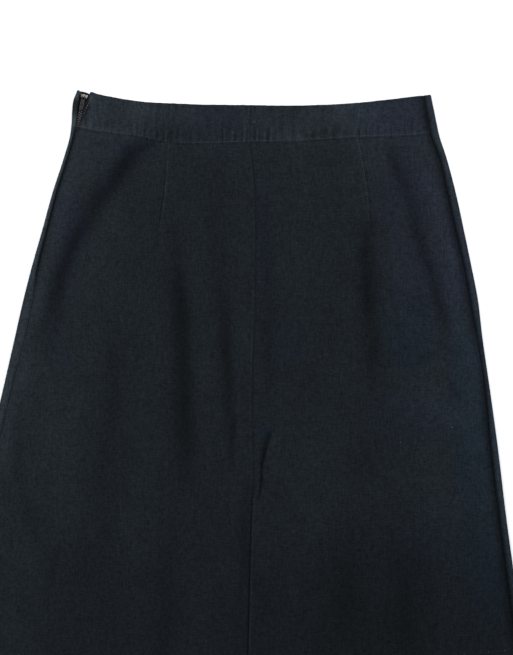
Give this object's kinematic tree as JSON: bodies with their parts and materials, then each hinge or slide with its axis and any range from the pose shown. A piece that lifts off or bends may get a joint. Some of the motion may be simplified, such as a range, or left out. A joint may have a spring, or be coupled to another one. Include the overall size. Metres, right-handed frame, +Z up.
{
  "type": "woven cotton a-line skirt, laid flat",
  "caption": "Dark A-line skirt laid flat with its back up: waist facing, long darts, centre back seam with a lapped vent, and a side zip.",
  "frame": {"origin": "on the surface, under the middle of the laid skirt's bounding box", "axes": "+X to the viewer's right across the laid skirt, +Y towards the waist, +Z up from the surface"},
  "size_m": [0.609, 0.6355, 0.008],
  "materials": {
    "front_cotton": "plain weave cotton, washed, matte",
    "back_left_cotton": "plain weave cotton, washed, matte",
    "back_right_cotton": "plain weave cotton, washed, matte",
    "facing_cotton": "plain weave cotton, matte",
    "zip_tape": "twill tape, matte",
    "slider_metal": "dark coat worn to warm grey metal at the nose, satin",
    "pull_metal": "dark gunmetal, satin"
  },
  "bodies": {
    "skirt": {"front_panel": "front_cotton", "back_left_panel": "back_left_cotton", "back_right_panel": "back_right_cotton", "front_facing": "facing_cotton", "back_facing": "facing_cotton", "zip_tape": "zip_tape", "zip_slider": "slider_metal"},
    "pull_tab": {"zip_pull": "pull_metal"}
  },
  "joints": [
    {"name": "pull_tab_swing", "type": "hinge", "parent": "skirt", "child": "pull_tab", "pos_m": [-0.1605, 0.31066, 0.0062], "axis": [-0.9728, 0.2317, 0], "range_deg": [0, 160]}
  ]
}
